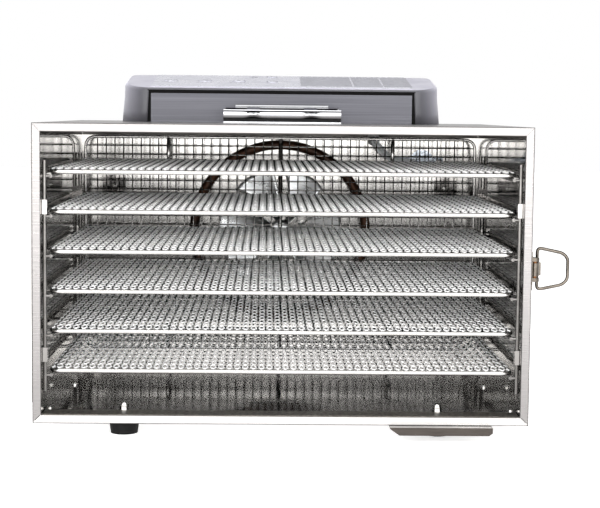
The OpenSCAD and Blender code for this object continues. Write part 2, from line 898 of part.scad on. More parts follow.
module handle_pin() {
    color("silver") centred() at_handle() rod([1 - handle_w / 2, 0, hinge_h],
        [handle_w / 2 - 1, 0, hinge_h], handle_pin_d);
}

// Folding bail: two arms, a cross strip and a round grip, folded back on the top
module handle_bail() {
    color("white") centred() at_handle() translate([0, 0, hinge_h]) rotate([bail_tilt, 0, 0]) difference() {
        union() {
            for (s = [-1, 1]) {
                x = s * (arm_in + arm_out) / 2;
                w = arm_out - arm_in;
                rod([x - w / 2, 0, 0], [x + w / 2, 0, 0], 8.4);
                translate([x - w / 2, 0, -1.6]) cube([w, bail_len - 10, 3.2]);
            }
            translate([-handle_w / 2, bail_len - 11, -1]) cube([handle_w, 8, 2]);
            rod([10 - handle_w / 2, bail_len - 1, 0], [handle_w / 2 - 10, bail_len - 1, 0], 6);
        }
        rod([-handle_w, 0, 0], [handle_w, 0, 0], handle_pin_d + 2 * run_gap);
    }
}

// ---- Latch ----

module at_latch() { translate([latch_x, latch_y, latch_z]) children(); }

module latch_rivets(x0) {
    for (y = [-9, 26], z = [-11, 11]) {
        translate([x0, latch_y + y, latch_z + z]) rotate([0, 90, 0]) {
            cylinder(h = 6, d = 3);
        }
    }
}

// Wall plate with two ears
module latch_base() {
    plate_t = 1.2;
    wall = half_w - latch_x;
    color("silver") centred() difference() {
        union() {
            at_latch() {
                translate([wall, -14, -16]) cube([plate_t, 46, 32]);
                for (s = [-1, 1]) translate([0, 0, s * (ear_z + ear_t / 2)]) {
                    translate([wall, -4, -ear_t / 2]) cube([-wall, 8, ear_t]);
                    cylinder(h = ear_t, d = 8, center = true);
                }
                for (y = [-9, 26], z = [-11, 11]) translate([wall, y, z]) {
                    rotate([0, 90, 0]) translate([0, 0, -skin_t]) {
                        cylinder(h = skin_t + plate_t, d = 3);
                        translate([0, 0, skin_t + plate_t]) cylinder(h = 0.8, d1 = 5, d2 = 3.6);
                    }
                }
            }
        }
        at_latch() cylinder(h = 60, d = latch_pin_d, center = true);
    }
}

module latch_pin() {
    l = 2 * (ear_z + ear_t) + 1;
    color("silver") centred() at_latch() cylinder(h = l, d = latch_pin_d, center = true);
}

module latch_sleeve() {
    color("peru") centred() at_latch() difference() {
        cylinder(h = sleeve_h, d = sleeve_d, center = true);
        cylinder(h = sleeve_h + 2, d = latch_pin_d, center = true);
    }
}

// Lever that turns on the sleeve and carries the loop
module latch_lever() {
    out = lever_out;
    color("silver") centred() at_latch() difference() {
        union() {
            cylinder(h = lever_h, d = sleeve_d + 3, center = true);
            translate([0, 0, -lever_h / 2]) cube([sleeve_d / 2 + 1.5, loop_off, lever_h]);
            translate([out - 5, loop_off - 3, -lever_h / 2]) cube([5, 6, lever_h]);
            translate([out - 1.6, loop_off - 3, -lever_h / 2]) cube([1.6, lever_len, lever_h]);
        }
        cylinder(h = lever_h + 2, d = sleeve_d + 2 * run_gap, center = true);
        translate([out - loop_seat, loop_off, 0]) {
            cylinder(h = lever_h + 2, d = loop_wire + 2 * run_gap, center = true);
        }
    }
}

// Wire loop: legs in the lever, arms that draw together and a cross bar
module latch_loop() {
    corner = 4.5;
    tip = loop_reach;
    color("silver") centred() at_latch() translate([lever_out - loop_seat, loop_off, 0]) bent_wire([
        [0, 1], [0, loop_root], [tip - corner, loop_tip], [tip, loop_tip - corner],
        [tip, corner - loop_tip], [tip - corner, -loop_tip], [0, -loop_root], [0, -1]],
        loop_wire);
}

// ---- Door supports ----

module ledge_rivets() {
    for (x = [14, ledge_x[1] - ledge_x[0] - 14]) {
        translate([ledge_x[0] + x, front + ledge_back / 2, base_z - 0.5]) cylinder(h = 5, d = 3.2);
    }
}

// Lipped ledge under the front edge, on which a door rests
module door_ledge() {
    t = 1.2;
    reach = ledge_reach;
    w = ledge_x[1] - ledge_x[0];
    color("dimgray") centred() {
        translate([ledge_x[0], front - reach, base_z - t]) cube([w, reach + ledge_back, t]);
        across(front - reach, t) polygon([
            [ledge_x[0], base_z - t], [ledge_x[1], base_z - t], [ledge_x[1], base_z - 4.5],
            [ledge_x[1] - 3, base_z - 6.8], [ledge_x[0] + 8, base_z - 6.8]]);
        for (x = [14, w - 14]) translate([ledge_x[0] + x, front + ledge_back / 2, base_z - t]) {
            cylinder(h = t + skin_t + 0.8, d = 3.2);
        }
    }
}

// Strip on the left wall with two hook slots
module hinge_strip() {
    t = strip_t;
    z0 = base_z + 17.5;
    z1 = top_z - 16;
    color("gainsboro") centred() difference() {
        translate([-half_w - t, front + 1, z0]) cube([t, 13, z1 - z0]);
        for (k = [0.15, 0.8]) {
            translate([-half_w - t - 1, front + 5, z0 + k * (z1 - z0)]) cube([t + 1, 3, 16]);
        }
    }
}

top_panel();
side_panel_left();
side_panel_right();
base_panel();
rear_cover();
case_screws();
liner_left();
liner_right();
liner_top();
liner_floor();
liner_back();
rubber_feet();
foot_screws();
foot_nuts();
tray_racks();
wall_clips();
chamber_screws();
fan_guard();
heater_ring();
heater_brackets();
fan_impeller();
motor_shaft();
motor_body();
motor_bracket();
thermal_cutout();
cutout_cable();
cable_grommet();
power_inlet();
control_box();
box_gasket();
box_fascia();
keypad_overlay();
key_power();
key_timer();
key_temperature();
key_plus();
key_minus();
circuit_board();
handle_base();
handle_pin();
handle_bail();
latch_base();
latch_pin();
latch_sleeve();
latch_lever();
latch_loop();
door_ledge();
hinge_strip();
for (n = [1:6]) {
    tray_frame(n);
    tray_mesh(n);
}
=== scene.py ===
"""Food dehydrator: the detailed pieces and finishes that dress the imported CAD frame."""

import math

import bpy
import numpy as np
from mathutils import Matrix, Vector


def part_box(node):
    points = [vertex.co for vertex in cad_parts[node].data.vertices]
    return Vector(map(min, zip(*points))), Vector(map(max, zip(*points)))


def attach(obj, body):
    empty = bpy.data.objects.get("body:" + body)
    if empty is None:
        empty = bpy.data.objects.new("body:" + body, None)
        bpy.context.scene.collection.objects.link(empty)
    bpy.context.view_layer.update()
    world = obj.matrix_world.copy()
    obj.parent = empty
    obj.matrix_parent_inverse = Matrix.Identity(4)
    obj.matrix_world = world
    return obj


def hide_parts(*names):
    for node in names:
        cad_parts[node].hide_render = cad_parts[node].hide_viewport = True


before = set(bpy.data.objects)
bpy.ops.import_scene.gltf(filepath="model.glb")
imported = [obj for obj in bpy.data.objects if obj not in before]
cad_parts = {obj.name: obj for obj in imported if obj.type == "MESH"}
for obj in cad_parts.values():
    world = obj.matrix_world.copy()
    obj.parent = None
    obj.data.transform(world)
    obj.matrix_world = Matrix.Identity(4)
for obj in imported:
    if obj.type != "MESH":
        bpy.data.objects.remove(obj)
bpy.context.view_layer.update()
MM = 0.001


# ---- Making surfaces ----


def quads_of(rows, columns, closed_rows=False, closed_columns=False):
    """Corner numbers of the quads of a rows by columns grid of points, row after row."""
    r = np.arange(rows if closed_rows else rows - 1)
    c = np.arange(columns if closed_columns else columns - 1)
    r, c = np.meshgrid(r, c, indexing="ij")
    r2, c2 = (r + 1) % rows, (c + 1) % columns
    corners = [r * columns + c, r * columns + c2, r2 * columns + c2, r2 * columns + c]
    return np.stack(corners, axis=-1).reshape(-1, 4)


def piece(name, points, faces, finish, body, stands_for=(), smooth=True):
    """A mesh of these points and faces that rides on a body and may stand for CAD nodes."""
    mesh = bpy.data.meshes.new(name)
    corners = [list(map(int, face)) for face in faces]
    mesh.from_pydata(np.asarray(points, float).reshape(-1, 3).tolist(), [], corners)
    mesh.polygons.foreach_set("use_smooth", np.full(len(mesh.polygons), smooth))
    mesh.materials.append(finish)
    mesh.update()
    made = bpy.data.objects.new(name, mesh)
    bpy.context.scene.collection.objects.link(made)
    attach(made, body)
    if stands_for:
        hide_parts(*stands_for)
    return made


def gathered(parts):
    """Several (points, faces) surfaces as one: each one's corner numbers follow the last one's."""
    points, faces, start = [], [], 0
    for p, f in parts:
        points.append(np.asarray(p, float).reshape(-1, 3))
        faces += [tuple(int(i) + start for i in face) for face in f]
        start += len(points[-1])
    return np.concatenate(points), faces


def rounded_path(corners, radius, steps=6, closed=False):
    """A broken line with each corner swapped for an arc: the quadratic curve that starts and ends
    a cut's length before and after the corner, which pulls it."""
    p = np.asarray(corners, float)
    n = len(p)
    t = np.linspace(0, 1, steps + 1)[:, None]
    line = []
    for k in range(n):
        if not closed and k in (0, n - 1):
            line.append(p[k][None])
            continue
        a, b, c = p[k - 1], p[k], p[(k + 1) % n]
        cut = min(radius, 0.48 * np.linalg.norm(a - b), 0.48 * np.linalg.norm(c - b))
        a = b + (a - b) / np.linalg.norm(a - b) * cut
        c = b + (c - b) / np.linalg.norm(c - b) * cut
        line.append((1 - t) ** 2 * a + 2 * t * (1 - t) * b + t**2 * c)
    return np.concatenate(line)


def swept(path, across, high, sides=10, up=(0, 0, 1), closed=False):
    """A tube along a path: at each point an ellipse across wide and high tall, in the plane that
    is square to the path, its second axis being up made square to the path. Ends are capped."""
    p = np.asarray(path, float)
    if closed:
        ahead = np.roll(p, -1, 0) - np.roll(p, 1, 0)
    else:
        ahead = np.gradient(p, axis=0)
    ahead /= np.linalg.norm(ahead, axis=1, keepdims=True)
    side = np.cross(ahead, np.asarray(up, float))
    side /= np.linalg.norm(side, axis=1, keepdims=True)
    top = np.cross(side, ahead)
    a = np.linspace(0, 2 * np.pi, sides, endpoint=False)[None, :, None]
    ring = p[:, None] + np.cos(a) * side[:, None] * across / 2 + np.sin(a) * top[:, None] * high / 2
    faces = quads_of(len(p), sides, closed_rows=closed, closed_columns=True)[:, ::-1].tolist()
    if not closed:
        faces += [list(range(sides)), list(range(len(p) * sides - 1, (len(p) - 1) * sides - 1, -1))]
    return ring.reshape(-1, 3), faces


def turned(profile, centre, axis, sides=32):
    """A profile of (distance along the axis, radius) turned about an axis through the centre."""
    axis = np.asarray(axis, float) / np.linalg.norm(axis)
    u = np.cross(axis, (0.3, 0.2, 1))
    u /= np.linalg.norm(u)
    v = np.cross(axis, u)
    a = np.linspace(0, 2 * np.pi, sides, endpoint=False)[None, :, None]
    profile = np.asarray(profile, float)
    ring = (np.asarray(centre, float) + profile[:, 0, None, None] * axis
            + profile[:, 1, None, None] * (np.cos(a) * u + np.sin(a) * v))
    faces = quads_of(len(profile), sides, closed_columns=True)[:, ::-1].tolist()
    faces += [list(range(sides)), list(range(len(profile) * sides - 1, (len(profile) - 1) * sides - 1, -1))]
    return ring.reshape(-1, 3), faces


# ---- Making finishes ----

NOISE_SPAN = (0.3, 0.7)  # the part of the noise's values that the colours and the gloss follow


def linear(code):
    """An sRGB hex colour as linear red, green, blue and alpha."""
    c = np.array([int(code[i:i + 2], 16) for i in (1, 3, 5)]) / 255
    return (*np.where(c <= 0.04045, c / 12.92, ((c + 0.055) / 1.055) ** 2.4), 1.0)


def add(tree, kind, inputs=(), **settings):
    """Adds a node: settings are its own properties, inputs its sockets' values or links."""
    node = tree.nodes.new(kind)
    for name, value in settings.items():
        setattr(node, name, value)
    for name, value in dict(inputs).items():
        if isinstance(value, bpy.types.NodeSocket):
            tree.links.new(value, node.inputs[name])
        else:
            node.inputs[name].default_value = value
    return node


def per(mm):
    """Texture scale for a pattern that repeats about every so many millimetres."""
    return 1000 / mm


def finish(name, colour, colour2, metallic, roughness, spread=0.04, grain=(6, 6, 6), bump=0.0,
           bump_grain=None, ior=1.5):
    """Principled surface: two near colours and a roughness range that follow one stretched noise,
    and a bump of a finer one. Grain is the noise's size in millimetres along X, Y and Z."""
    material = bpy.data.materials.new(name)
    material.use_nodes = True
    tree = material.node_tree
    tree.nodes.clear()
    where = add(tree, "ShaderNodeTexCoord")
    stretched = add(tree, "ShaderNodeMapping", {"Vector": where.outputs["Object"],
                    "Scale": [per(g) for g in grain]})
    noise = add(tree, "ShaderNodeTexNoise", {"Vector": stretched.outputs["Vector"], "Scale": 1.0,
                "Detail": 4.0, "Roughness": 0.55})
    tint = add(tree, "ShaderNodeValToRGB", {"Fac": noise.outputs["Fac"]})
    for stop, place, code in zip(tint.color_ramp.elements, NOISE_SPAN, (colour, colour2)):
        stop.position = place
        stop.color = linear(code)
    gloss = add(tree, "ShaderNodeMapRange", {"Value": noise.outputs["Fac"],
                "From Min": NOISE_SPAN[0], "From Max": NOISE_SPAN[1],
                "To Min": max(0.0, roughness - spread), "To Max": min(1.0, roughness + spread)})
    shader = add(tree, "ShaderNodeBsdfPrincipled", {"Base Color": tint.outputs["Color"],
                 "Roughness": gloss.outputs["Result"], "Metallic": metallic, "IOR": ior})
    if bump:
        fine = add(tree, "ShaderNodeMapping", {"Vector": where.outputs["Object"],
                   "Scale": [per(g) for g in (bump_grain or grain)]})
        relief = add(tree, "ShaderNodeTexNoise", {"Vector": fine.outputs["Vector"], "Scale": 1.0,
                     "Detail": 3.0, "Roughness": 0.6})
        lifted = add(tree, "ShaderNodeBump", {"Height": relief.outputs["Fac"], "Strength": 1.0,
                     "Distance": bump * MM})
        tree.links.new(lifted.outputs["Normal"], shader.inputs["Normal"])
    add(tree, "ShaderNodeOutputMaterial", {"Surface": shader.outputs["BSDF"]})
    return material


# Stainless sheet, cold rolled and brushed: fine streaks. It is darker than bare sheet, so that the
# front flange isn't overexposed
brushed_steel = finish("brushed_stainless", "#827f7e", "#777574", 1.0, 0.3, 0.05, (90, 90, 0.8),
                       0.003, (60, 60, 0.4))
# The same sheet for the base panel, painted lighter so that its flange is as bright as the others: painted
# light
base_painted_light = finish("brushed_stainless_base", "#bdbbb9", "#b2b0ae", 1.0, 0.3, 0.05, (90, 90, 0.8),
                    0.003, (60, 60, 0.4))
# Stainless sheet, bright annealed: a slightly wavy mirror
mirror_steel = finish("bright_annealed_stainless", "#a3a19f", "#92908e", 1.0, 0.07, 0.03,
                      (60, 60, 60), 0.12, (110, 110, 110))
# The same sheet for the back wall, satin: a blurred mirror behind the guard
satin_steel = finish("satin_stainless", "#a8a6a3", "#989693", 1.0, 0.16, 0.03, (50, 50, 50), 0.08,
                     (100, 100, 100))
# The same sheet for the floor, the ceiling and the wall clips, greyer; on the ceiling this grey is painted
# shade
floor_steel = finish("greyed_stainless", "#8a8784", "#757270", 1.0, 0.09, 0.03, (45, 45, 45), 0.1,
                     (90, 90, 90))
# The strip along the top of the back wall: dark and dull, painted shade that stands for a shaded band there
shade_strip_steel = finish("painted_shade_stainless", "#4d4b48", "#3d3b39", 1.0, 0.45, 0.08, (30, 30, 30), 0.05,
                      (60, 60, 60))
# Cut-out's cup, deep drawn and tinned: cool and bright
bright_cup = finish("tinned_cup", "#8d9196", "#72767b", 1.0, 0.12, 0.05, (4, 4, 4), 0.05, (5, 5, 5))
# Rack wire, drawn and left as welded: greyer than the trays
rack_wire = finish("welded_stainless_wire", "#6b6967", "#575553", 1.0, 0.22, 0.05, (12, 12, 12))
# Stainless wire, drawn and electropolished: bright, soft highlights
polished_wire = finish("electropolished_wire", "#b5b3b1", "#a7a5a2", 1.0, 0.2, 0.05, (12, 12, 12))
# Expanded steel sheet, slit, stretched and electropolished: the strands' upper faces, painted near
# white as their lit side, so that the openings between them show
expanded_steel = finish("expanded_stainless_faces", "#ffffff", "#fcfbfa", 0.15, 0.3, 0.08,
                        (4, 7, 4))
# The same strands' undersides, cut sides and every second bond: dull and near black, painted shade
# that sets off the upper faces
strand_painted_shade = finish("expanded_stainless_painted_shade", "#242322", "#151414", 0.4, 0.55, 0.08, (3, 3, 3))
# Stainless heater sheath, browned and blackened by heat
heat_browned = finish("heat_browned_sheath", "#1c1410", "#4a2d1b", 0.7, 0.42, 0.1, (14, 14, 14),
                      0.03, (1.5, 1.5, 1.5))
# Nitrile rubber, compression moulded: dull black. The handle's grooves have it too, as painted reflection:
# the dark lines of polished chrome
rubber_and_groove_shade = finish("rubber_and_groove_shade", "#060606", "#0c0c0d", 0.0, 0.6, 0.08, (5, 5, 5), 0.05,
                        (0.8, 0.8, 0.8), 1.25)
# Dull grey strips along the flange's folded edges: painted shade where the folds turn away
flange_edge_shade = finish("flange_edge_painted_shade", "#3c3938", "#302e2d", 0.2, 0.6, 0.06, (5, 5, 5),
                      ior=1.3)
# Steel screws, zinc plated: bright with a cool grey patch here and there
zinc_plate = finish("zinc_plated_steel", "#e2e1de", "#b9b8b5", 1.0, 0.22, 0.08, (3, 3, 3))
# Aluminium sheet, pressed: rolled streaks
pressed_aluminium = finish("pressed_aluminium", "#eceded", "#cfd1d3", 1.0, 0.3, 0.08, (30, 3, 3),
                           0.02, (20, 0.8, 0.8))
# Motor drum, galvanised and lacquered
lacquered_drum = finish("lacquered_motor_drum", "#56595d", "#3f4246", 0.6, 0.4, 0.06, (8, 8, 8),
                        0.02, (1, 1, 1))
# ABS, injection moulded with a fine spark texture: soft lavender grey
moulded_abs = finish("moulded_abs", "#abaab4", "#a2a1ac", 0.0, 0.38, 0.05, (25, 25, 25), 0.015,
                     (0.6, 0.6, 0.6), 1.53)
# The same ABS on the flanks, with painted shade: a fade drawn in it from dark at the front edge to light
flank_abs = finish("moulded_abs_flank", "#b7b6c0", "#adacb7", 0.0, 0.45, 0.05, (25, 25, 25), 0.015,
                   (0.6, 0.6, 0.6), 1.4)
tree = flank_abs.node_tree
box_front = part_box("control_box")[0].y
depth = add(tree, "ShaderNodeSeparateXYZ", {"Vector": tree.nodes["Texture Coordinate"].outputs["Object"]})
FADE = 40  # from the front edge to where the flank is lightest
fade = add(tree, "ShaderNodeMapRange", {"Value": depth.outputs["Y"],
           "From Min": box_front, "From Max": box_front + FADE * MM, "To Min": 0.1, "To Max": 1.15})
shade = add(tree, "ShaderNodeMix", {"Factor": 1.0, 6: tree.nodes["Color Ramp"].outputs["Color"]},
            data_type="RGBA", blend_type="MULTIPLY")
tree.links.new(fade.outputs["Result"], shade.inputs[7])
tree.links.new(shade.outputs[2], tree.nodes["Principled BSDF"].inputs["Base Color"])
# EPDM gasket, extruded: nearly no shine
extruded_gasket = finish("extruded_epdm", "#030303", "#060606", 0.0, 0.8, 0.06, (6, 6, 6), 0.03,
                         (0.7, 0.7, 0.7), 1.2)
# Aluminium fascia, brushed and grey anodised
anodised_fascia = finish("brushed_anodised_aluminium", "#47474b", "#404044", 1.0, 0.36, 0.05,
                         (140, 140, 1.1), 0.002, (90, 90, 0.6))
# Polycarbonate film, screen printed on its back
printed_film = finish("printed_polycarbonate_film", "#a9a9b2", "#a2a2ab", 0.0, 0.28, 0.05,
                      (20, 20, 20), 0.004, (0.5, 0.5, 0.5), 1.58)
# Same film over the keys, a shade lighter
key_film = finish("key_film", "#bdbdc6", "#b3b3bd", 0.0, 0.24, 0.05, (6, 6, 6), 0.004,
                  (0.5, 0.5, 0.5), 1.58)
# Screen printing ink, dark grey
print_ink = finish("screen_print_ink", "#3f3f47", "#4a4a52", 0.0, 0.45, 0.05, (3, 3, 3))
# Screen printing ink, mid grey, of the chart
chart_ink = finish("chart_print_ink", "#84848b", "#8d8d94", 0.0, 0.4, 0.05, (8, 8, 8))
# Glass-fibre epoxy board, etched and solder masked
solder_mask = finish("solder_mask_board", "#0f4a2b", "#16603a", 0.0, 0.35, 0.08, (4, 4, 4), 0.02,
                     (2, 0.5, 2))
# Glass-fibre sleeving, braided and varnished: silvery grey
braided_sleeve = finish("braided_glass_sleeve", "#f2f3f5", "#dcdee1", 0.0, 0.45, 0.1,
                        (1.2, 1.2, 1.2), 0.03, (0.7, 0.7, 0.7))
# PBT socket, injection moulded
moulded_pbt = finish("moulded_pbt", "#101011", "#1a1a1c", 0.0, 0.45, 0.05, (6, 6, 6), 0.02,
                     (0.8, 0.8, 0.8), 1.55)
# Steel pressing, chrome plated
chrome_plate = finish("chrome_plated_steel", "#98989a", "#8c8d8f", 1.0, 0.07, 0.02, (20, 20, 20),
                      0.02, (30, 30, 30))
# Nickel-plated latch steel
nickel_plate = finish("nickel_plated_steel", "#635d56", "#4d4842", 1.0, 0.2, 0.06, (5, 5, 5))
# Brass sleeve, turned and tarnished brown
tarnished_brass = finish("tarnished_brass", "#70492b", "#52331d", 1.0, 0.32, 0.08, (4, 4, 0.6))
# Ledge steel, blued
blued_steel = finish("blued_steel", "#4c4743", "#3b3734", 1.0, 0.3, 0.06, (30, 30, 4), 0.01,
                     (10, 10, 1))
# Zinc-spangled sheet of the floor pan's front edge
galvanised = finish("galvanised_sheet", "#a39d94", "#6f6b65", 1.0, 0.4, 0.1, (3, 3, 3), 0.04,
                    (2.5, 2.5, 2.5))
# Silicone grommet, moulded: mid grey
silicone = finish("moulded_silicone", "#8d8d8c", "#7b7b7a", 0.0, 0.45, 0.05, (4, 4, 4), 0.02,
                  (0.8, 0.8, 0.8), 1.41)

BY_SLOT = {"steel": brushed_steel, "liner": mirror_steel, "wire": polished_wire, "mesh": expanded_steel,
           "heater": heat_browned, "rubber": rubber_and_groove_shade, "screw": zinc_plate, "fan": pressed_aluminium,
           "motor": lacquered_drum, "shaft": zinc_plate, "shell": moulded_abs, "gasket": extruded_gasket,
           "fascia": anodised_fascia, "overlay": printed_film, "key": key_film, "board": solder_mask,
           "cable": braided_sleeve, "socket": moulded_pbt, "handle": chrome_plate, "latch": nickel_plate,
           "brass": tarnished_brass, "ledge": blued_steel}
OWN_FINISH = {"liner_back": satin_steel, "liner_floor": floor_steel, "liner_top": floor_steel,
              "wall_clips": floor_steel, "thermal_cutout": bright_cup, "tray_racks": rack_wire,
              "base_panel": base_painted_light, "cable_grommet": silicone}

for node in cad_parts.values():
    for k, held in enumerate(node.data.materials):
        node.data.materials[k] = BY_SLOT[held.name.split(".")[0]]
for name, own in OWN_FINISH.items():
    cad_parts[name].data.materials[0] = own

# ---- Trays: expanded mesh ----

CELL_W = 6.8      # across a mesh opening
CELL_POINTS = 8   # points along a strand in that width
CELL_L = 20.5     # from front to rear, two rows of openings
STRAND = 1.15     # a strand's width
MEET = 0.35       # from a bond to the middle of either strand, in strand widths
SHEET = 0.4       # a strand's thickness
LEAN = 50         # of a strand's face towards the front, in degrees
SWING = 1.45      # of the triangle wave, before its tops are cut flat at 1
RIPPLE = 0.12     # a strand's rise and fall with its wave
LIFT = 0.2        # of the strands above the middle of the CAD sheet
BOND = 0.7        # a bond is where the triangle wave is past this
CORNER = 9        # radius of the sheet's corners
TRAYS = 6


def expanded_sheet(lo, hi):
    """Strands one behind the other along X. Strand k's middle runs at y = k half cells plus or
    minus nearly a quarter cell times a flat-topped triangle wave of x, neighbours opposite, so
    that they meet in bonds. The section is a bar that leans back by a fixed angle about the
    strand's own run, as slitting and stretching leave it. Strands shorten at the sheet's round
    corners. Each face's finish comes with it: 0, painted light, on the upper faces, 1, painted
    shade, on the other faces and on the upper faces of every second bond."""
    w, l = (hi.x - lo.x) / MM, (hi.y - lo.y) / MM
    middle = np.array([(lo.x + hi.x) / 2, (lo.y + hi.y) / 2]) / MM
    count = int(l / CELL_L * 2)
    strand = np.arange(count)[:, None]
    base = (strand + 0.5 - count / 2) * l / count
    columns = int(w / CELL_W * CELL_POINTS) + 1
    x = np.linspace(-w / 2, w / 2, columns)[None, :]
    beyond = np.clip(np.abs(base) - (l / 2 - CORNER), 0, CORNER)
    reach = 1 - (CORNER - np.sqrt(CORNER**2 - beyond**2)) / (w / 2)
    saw = 4 * np.abs((x / CELL_W) % 1 - 0.5) - 1
    wave = np.clip(SWING * saw, -1, 1) * np.where(strand % 2 == 0, 1.0, -1.0)
    half = l / count / 2 - STRAND * MEET
    y = base + half * wave
    z = RIPPLE * wave
    run = np.stack([np.gradient(x * np.ones_like(y), axis=1), np.gradient(y, axis=1)], -1)
    run /= np.linalg.norm(run, axis=-1, keepdims=True)
    back = np.stack([-run[..., 1], run[..., 0], np.zeros_like(y)], -1)
    tilt = math.radians(LEAN)
    along = (math.cos(tilt) * back + math.sin(tilt) * np.array([0, 0, 1.0])) * STRAND / 2
    over = (-math.sin(tilt) * back + math.cos(tilt) * np.array([0, 0, 1.0])) * SHEET / 2
    spot = np.stack([x * reach, y, z], -1)
    ring = np.stack([spot - along - over, spot + along - over, spot + along + over, spot - along + over], 2)
    ring += np.array([middle[0], middle[1], (lo.z + hi.z) / 2 / MM + LIFT])
    size = 4 * columns
    ends = np.array([[3, 2, 1, 0], [size - 4, size - 3, size - 2, size - 1]])
    one = np.concatenate([quads_of(columns, 4, closed_columns=True), ends])
    faces = (one[None] + size * np.arange(count)[:, None, None]).reshape(-1, 4)
    bond = np.broadcast_to((saw[:, 1:] + saw[:, :-1]) / 2 > BOND, (count, columns - 1))
    always = np.ones_like(bond)
    dark = np.stack([always, always, bond, always], -1).reshape(count, -1)
    dark = np.concatenate([dark, np.ones((count, len(ends)), bool)], 1)
    return ring.reshape(-1, 3) * MM, faces, dark.ravel().astype(np.int32)


for n in range(1, TRAYS + 1):
    lo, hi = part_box(f"tray_mesh_{n}")
    points, faces, dark = expanded_sheet(lo, hi)
    sheet = piece(f"tray_sheet_{n}", points, faces, expanded_steel, f"tray_{n}",
                  [f"tray_mesh_{n}"], smooth=False)
    # Undersides, cut sides and every second bond take the painted shade
    sheet.data.materials.append(strand_painted_shade)
    sheet.data.polygons.foreach_set("material_index", dark)

# ---- Fan guard: welded round wires ----

GUARD_WIRE = 1.3
GUARD_PITCH = 8.7  # from wire to wire
GUARD_RIM = 3      # the rim wire's thickness
GUARD_CORNER = 11
RIM_CLEAR = 4      # least distance from the rim's middle to a wire
BAR_W, BAR_T = 4.2, 1.8
LEG_D = 4
LEG_X, LEG_IN = 112, 24  # a leg's place from the guard's middle, and its bend's from the rim

lo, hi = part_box("fan_guard")
rim_r = GUARD_RIM / 2
guard_y = lo.y / MM + rim_r
x0, x1, z0, z1 = lo.x / MM + rim_r, hi.x / MM - rim_r, lo.z / MM + rim_r, hi.z / MM - rim_r
mid_x = (x0 + x1) / 2
wall_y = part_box("liner_back")[0].y / MM


def guard_wires(starts, ends, y):
    """Straight six-sided wires from start to end points, all at depth y."""
    return gathered([swept([(a[0], y, a[1]), (b[0], y, b[1])], GUARD_WIRE, GUARD_WIRE, 6, up=(0, 1, 0))
                     for a, b in zip(starts, ends)])


# More wires than fit; those past the rim are left out
xs = mid_x + GUARD_PITCH * np.arange(-22, 23)
xs = xs[(xs > x0 + RIM_CLEAR) & (xs < x1 - RIM_CLEAR)]
zs = z1 - GUARD_PITCH * np.arange(1, 26)
zs = zs[zs > z0 + RIM_CLEAR]
up_wires = guard_wires([(x, z0) for x in xs], [(x, z1) for x in xs], guard_y - 0.3)
level_wires = guard_wires([(x0, z) for z in zs], [(x1, z) for z in zs], guard_y + 0.8)
loop = rounded_path([(x0, guard_y, z0), (x1, guard_y, z0), (x1, guard_y, z1), (x0, guard_y, z1)],
                    GUARD_CORNER, 8, closed=True)
rim = swept(loop, GUARD_RIM, GUARD_RIM, 12, up=(0, 1, 0), closed=True)
bar = swept([(mid_x, guard_y - 0.6, z0), (mid_x, guard_y - 0.6, z1)], BAR_W, BAR_T, 4, up=(0, 1, 0))
legs = []
for sx in (-1, 1):
    for sz, zend in ((-1, z0), (1, z1)):
        x, z = mid_x + sx * LEG_X, zend - sz * LEG_IN
        bent = rounded_path([(x, guard_y, zend), (x, guard_y, z), (x, wall_y, z)], 6)
        legs.append(swept(bent, LEG_D, LEG_D, 10, up=(1, 0, 0)))
points, faces = gathered([up_wires, level_wires, rim, bar] + legs)
piece("guard_grid", points * MM, faces, polished_wire, "cabinet", ["fan_guard"])

# ---- Front flange: dark strips along the folded sheet's edges, painted shade ----

EDGE_FRONT, EDGE_REAR = 0.12, 0.1  # of an edging strip before and behind the flange's front
EDGINGS = ((0.0, 0.55), (6.7, 0.6))  # outer and inner strip: inset from the outside, and width


def bar_box(lo, hi):
    """The eight corners and six outward faces of an upright box, in millimetres."""
    x, y, z = np.meshgrid(*zip(lo, hi), indexing="ij")
    corners = np.stack([x.ravel(), y.ravel(), z.ravel()], -1)
    return corners, [[0, 1, 3, 2], [4, 6, 7, 5], [0, 4, 5, 1], [2, 3, 7, 6], [0, 2, 6, 4], [1, 5, 7, 3]]


left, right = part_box("side_panel_left")[0].x / MM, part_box("side_panel_right")[1].x / MM
low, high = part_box("base_panel")[0].z / MM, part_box("top_panel")[1].z / MM
flange_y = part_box("side_panel_left")[0].y / MM
edges = []
near, far = flange_y - EDGE_FRONT, flange_y + EDGE_REAR
for inset, w in EDGINGS:
    x0, x1, z0, z1 = left + inset, right - inset, low + inset, high - inset
    edges += [bar_box((x0, near, z1 - w), (x1, far, z1)),
              bar_box((x0, near, z0), (x1, far, z0 + w)),
              bar_box((x0, near, z0 + w), (x0 + w, far, z1 - w)),
              bar_box((x1 - w, near, z0 + w), (x1, far, z1 - w))]
points, faces = gathered(edges)
piece("flange_edges", points * MM, faces, flange_edge_shade, "cabinet", smooth=False)

# ---- Back wall: dark strip under the ceiling, painted shade for a shaded band, a guess ----

SHADE_STRIP_GAP = 0.2                   # to the ceiling and the side walls
SHADE_STRIP_LOW = 7.2                   # of its lower edge from the ceiling
SHADE_STRIP_FRONT, SHADE_STRIP_REAR = 0.9, 0.1  # of its faces from the back wall

wall_left, wall_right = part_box("liner_left")[1].x / MM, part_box("liner_right")[0].x / MM
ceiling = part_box("liner_top")[0].z / MM
points, faces = bar_box((wall_left + SHADE_STRIP_GAP, wall_y - SHADE_STRIP_FRONT, ceiling - SHADE_STRIP_LOW),
                        (wall_right - SHADE_STRIP_GAP, wall_y - SHADE_STRIP_REAR, ceiling - SHADE_STRIP_GAP))
piece("back_shade_strip", points * MM, faces, shade_strip_steel, "cabinet", smooth=False)

# ---- Handle: chromed bar in front of the bail's arms ----

